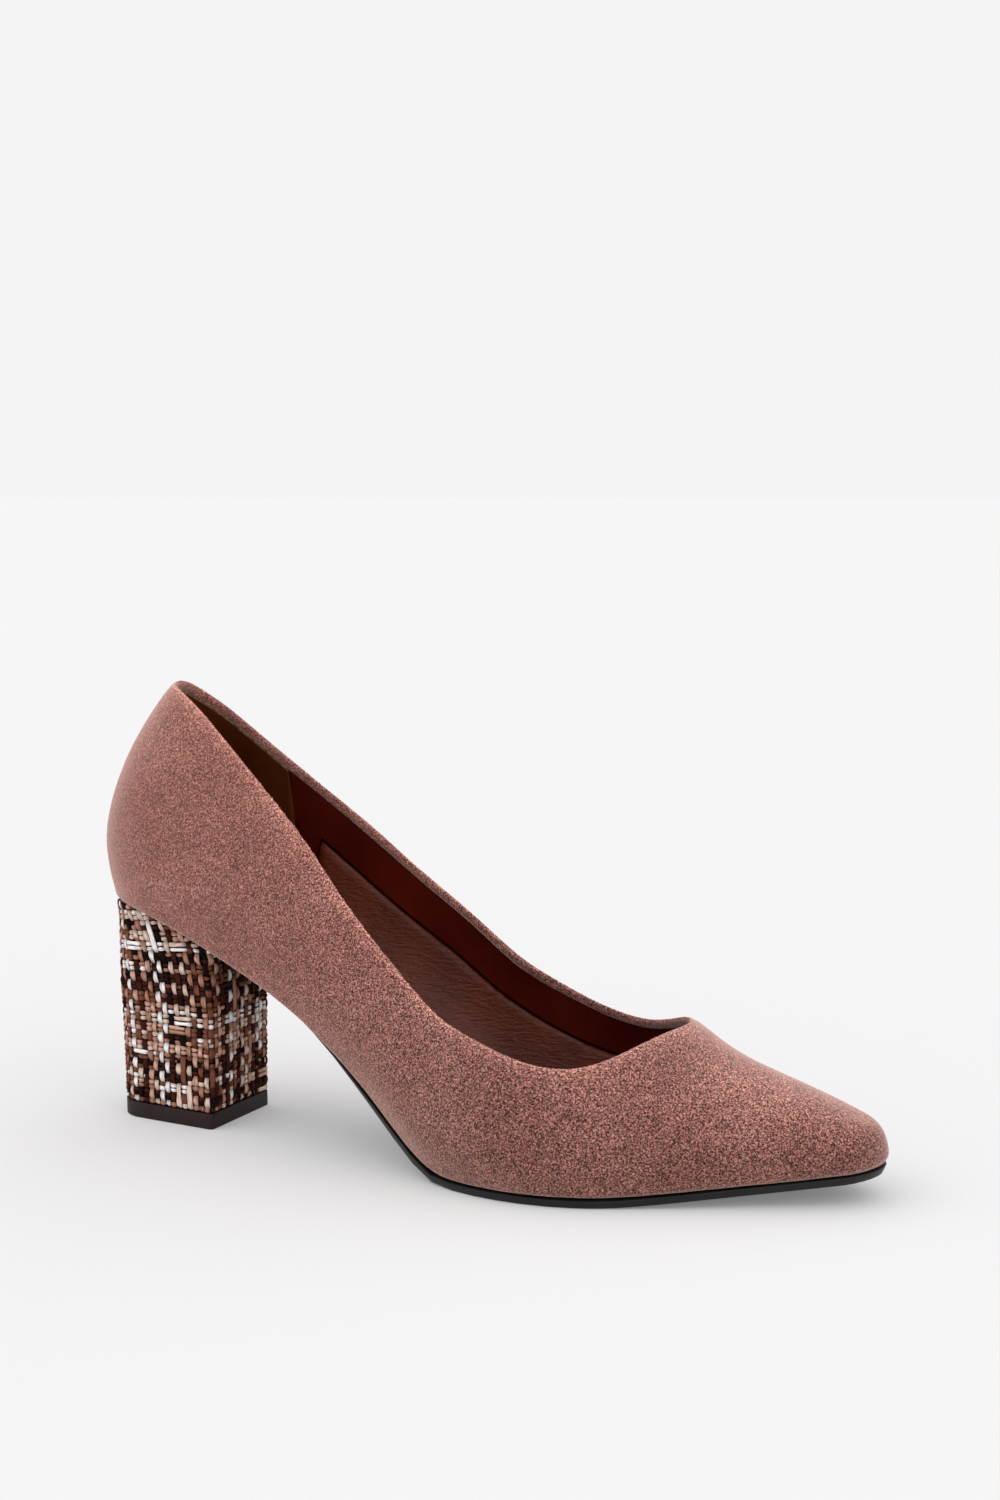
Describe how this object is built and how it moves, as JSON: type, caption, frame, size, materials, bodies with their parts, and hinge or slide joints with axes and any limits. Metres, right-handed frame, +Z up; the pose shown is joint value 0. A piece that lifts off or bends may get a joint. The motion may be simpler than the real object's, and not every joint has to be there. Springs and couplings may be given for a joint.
{
  "type": "block heel pump",
  "caption": "Women's closed pump with a pointed toe, low topline, suede upper, thin dark sole and a mid-height block heel covered in woven tweed.",
  "frame": {"origin": "middle of the heel's flat where it stands on the floor", "axes": "+X from the heel to the toe, +Y to the medial side, +Z up from the floor"},
  "size_m": [0.2374, 0.079, 0.1295],
  "materials": {
    "suede": "matt napped",
    "insole": "satin",
    "outsole": "satin",
    "tweed": "woven, matt",
    "top_piece": "matt"
  },
  "bodies": {
    "root": {"upper": "suede", "insole": "insole", "outsole": "outsole", "heel": "tweed", "top_piece": "top_piece"}
  },
  "joints": []
}
